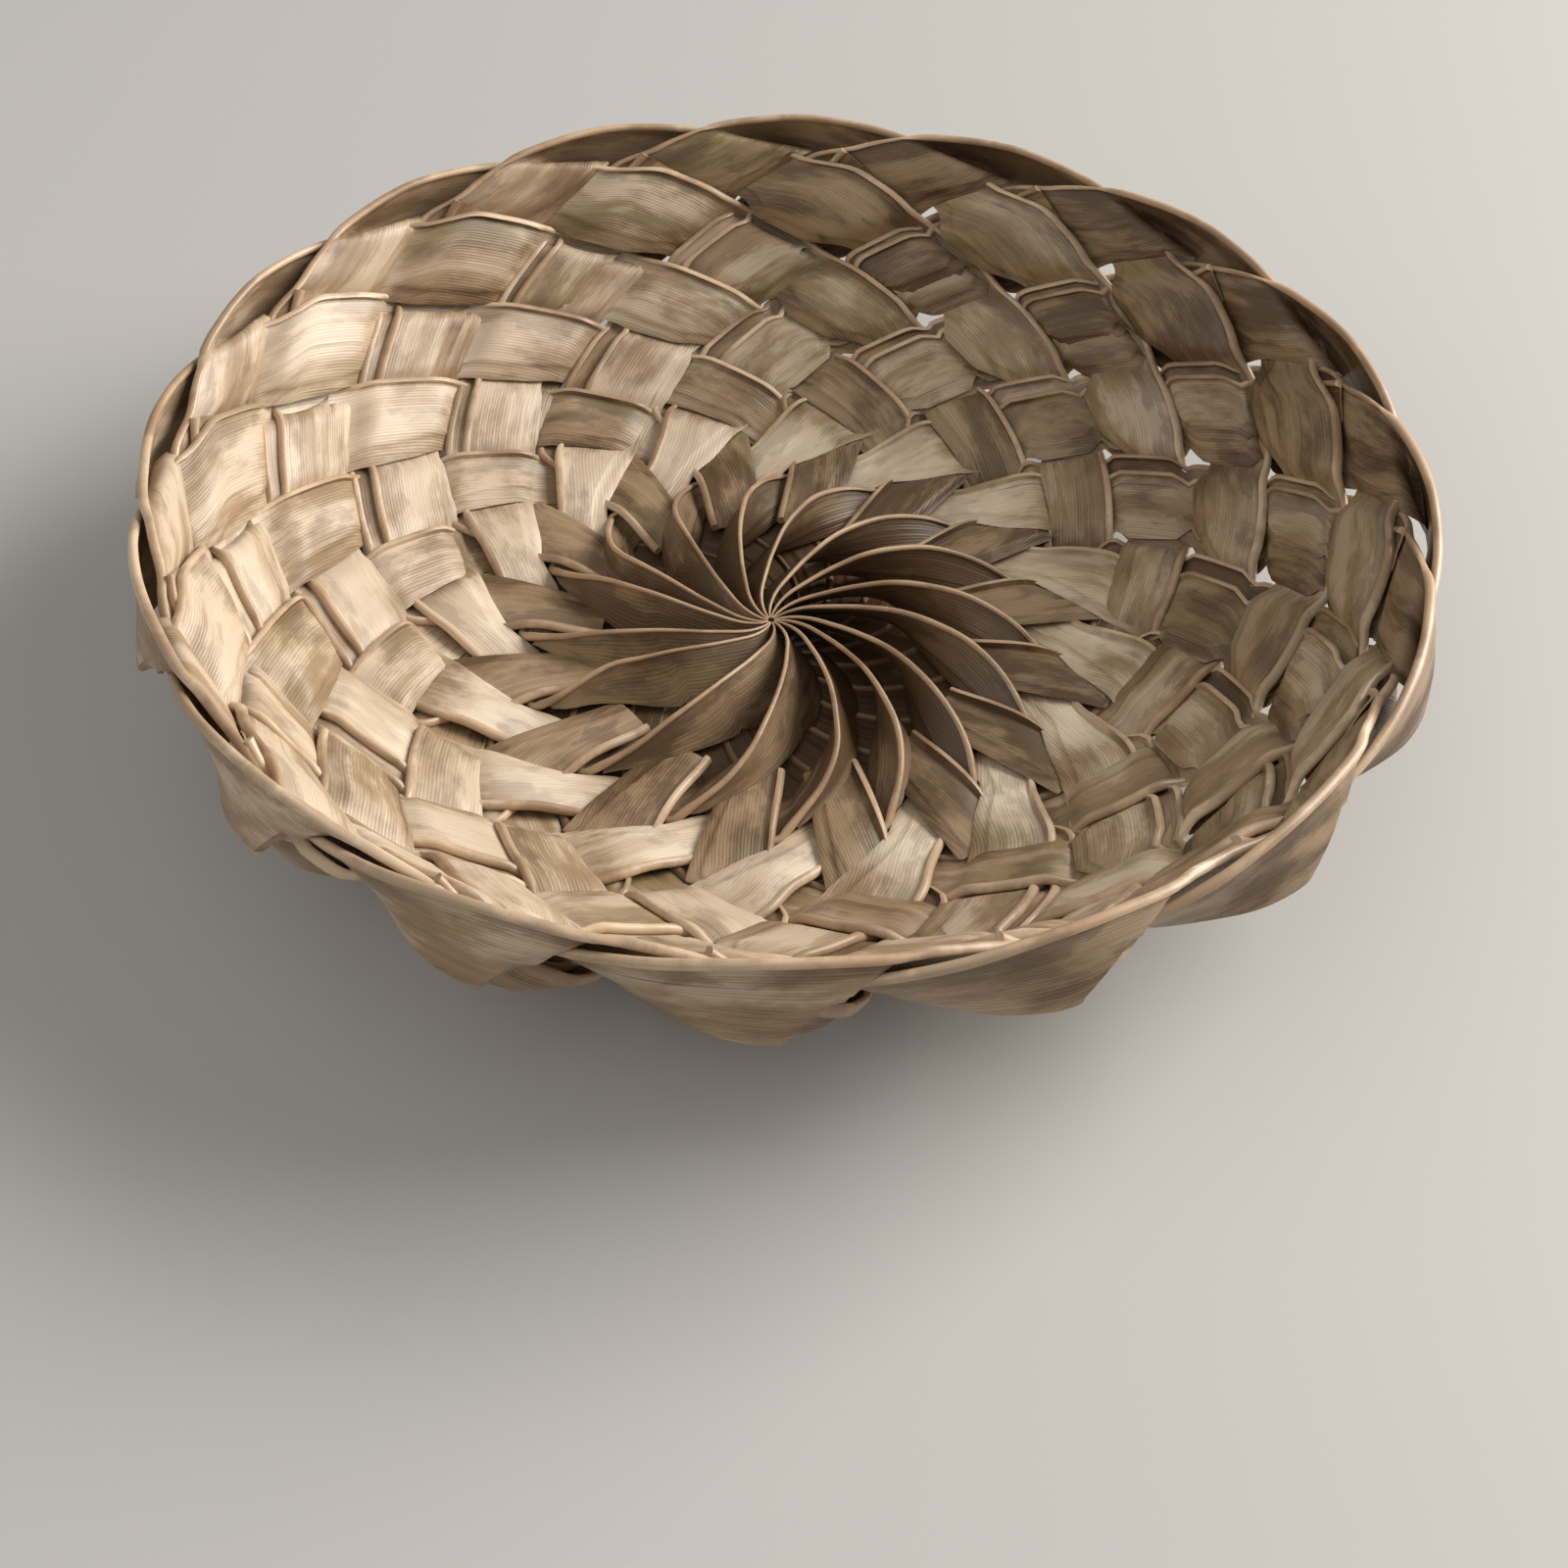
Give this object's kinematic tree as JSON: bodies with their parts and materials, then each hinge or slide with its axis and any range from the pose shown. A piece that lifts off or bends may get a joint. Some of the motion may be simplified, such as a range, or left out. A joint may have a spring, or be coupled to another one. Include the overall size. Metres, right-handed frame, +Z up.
{
  "type": "winnowing basket",
  "caption": "Shallow round basket plaited from folded palm leaves, with a raised pinwheel of upright fins at the middle of the base and a scalloped, rolled rim.",
  "frame": {"origin": "on the floor, under the middle of the bowl", "axes": "+Z up along the bowl's axis; the basket is viewed from the -Y side"},
  "size_m": [0.2954, 0.2954, 0.0624],
  "materials": {
    "fin_leaf": "dried palm leaf, satin, tan brown with darker blotches and a pale rib",
    "rim_leaf": "dried palm leaf, satin, straw to olive brown with fine veins and a pale rib"
  },
  "bodies": {
    "root": {"fin_leaf_01": "fin_leaf", "fin_leaf_02": "fin_leaf", "fin_leaf_03": "fin_leaf", "fin_leaf_04": "fin_leaf", "fin_leaf_05": "fin_leaf", "fin_leaf_06": "fin_leaf", "fin_leaf_07": "fin_leaf", "fin_leaf_08": "fin_leaf", "fin_leaf_09": "fin_leaf", "fin_leaf_10": "fin_leaf", "fin_leaf_11": "fin_leaf", "fin_leaf_12": "fin_leaf", "fin_leaf_13": "fin_leaf", "fin_leaf_14": "fin_leaf", "fin_leaf_15": "fin_leaf", "fin_leaf_16": "fin_leaf", "rim_leaf_01": "rim_leaf", "rim_leaf_02": "rim_leaf", "rim_leaf_03": "rim_leaf", "rim_leaf_04": "rim_leaf", "rim_leaf_05": "rim_leaf", "rim_leaf_06": "rim_leaf", "rim_leaf_07": "rim_leaf", "rim_leaf_08": "rim_leaf", "rim_leaf_09": "rim_leaf", "rim_leaf_10": "rim_leaf", "rim_leaf_11": "rim_leaf", "rim_leaf_12": "rim_leaf", "rim_leaf_13": "rim_leaf", "rim_leaf_14": "rim_leaf", "rim_leaf_15": "rim_leaf", "rim_leaf_16": "rim_leaf"}
  },
  "joints": []
}
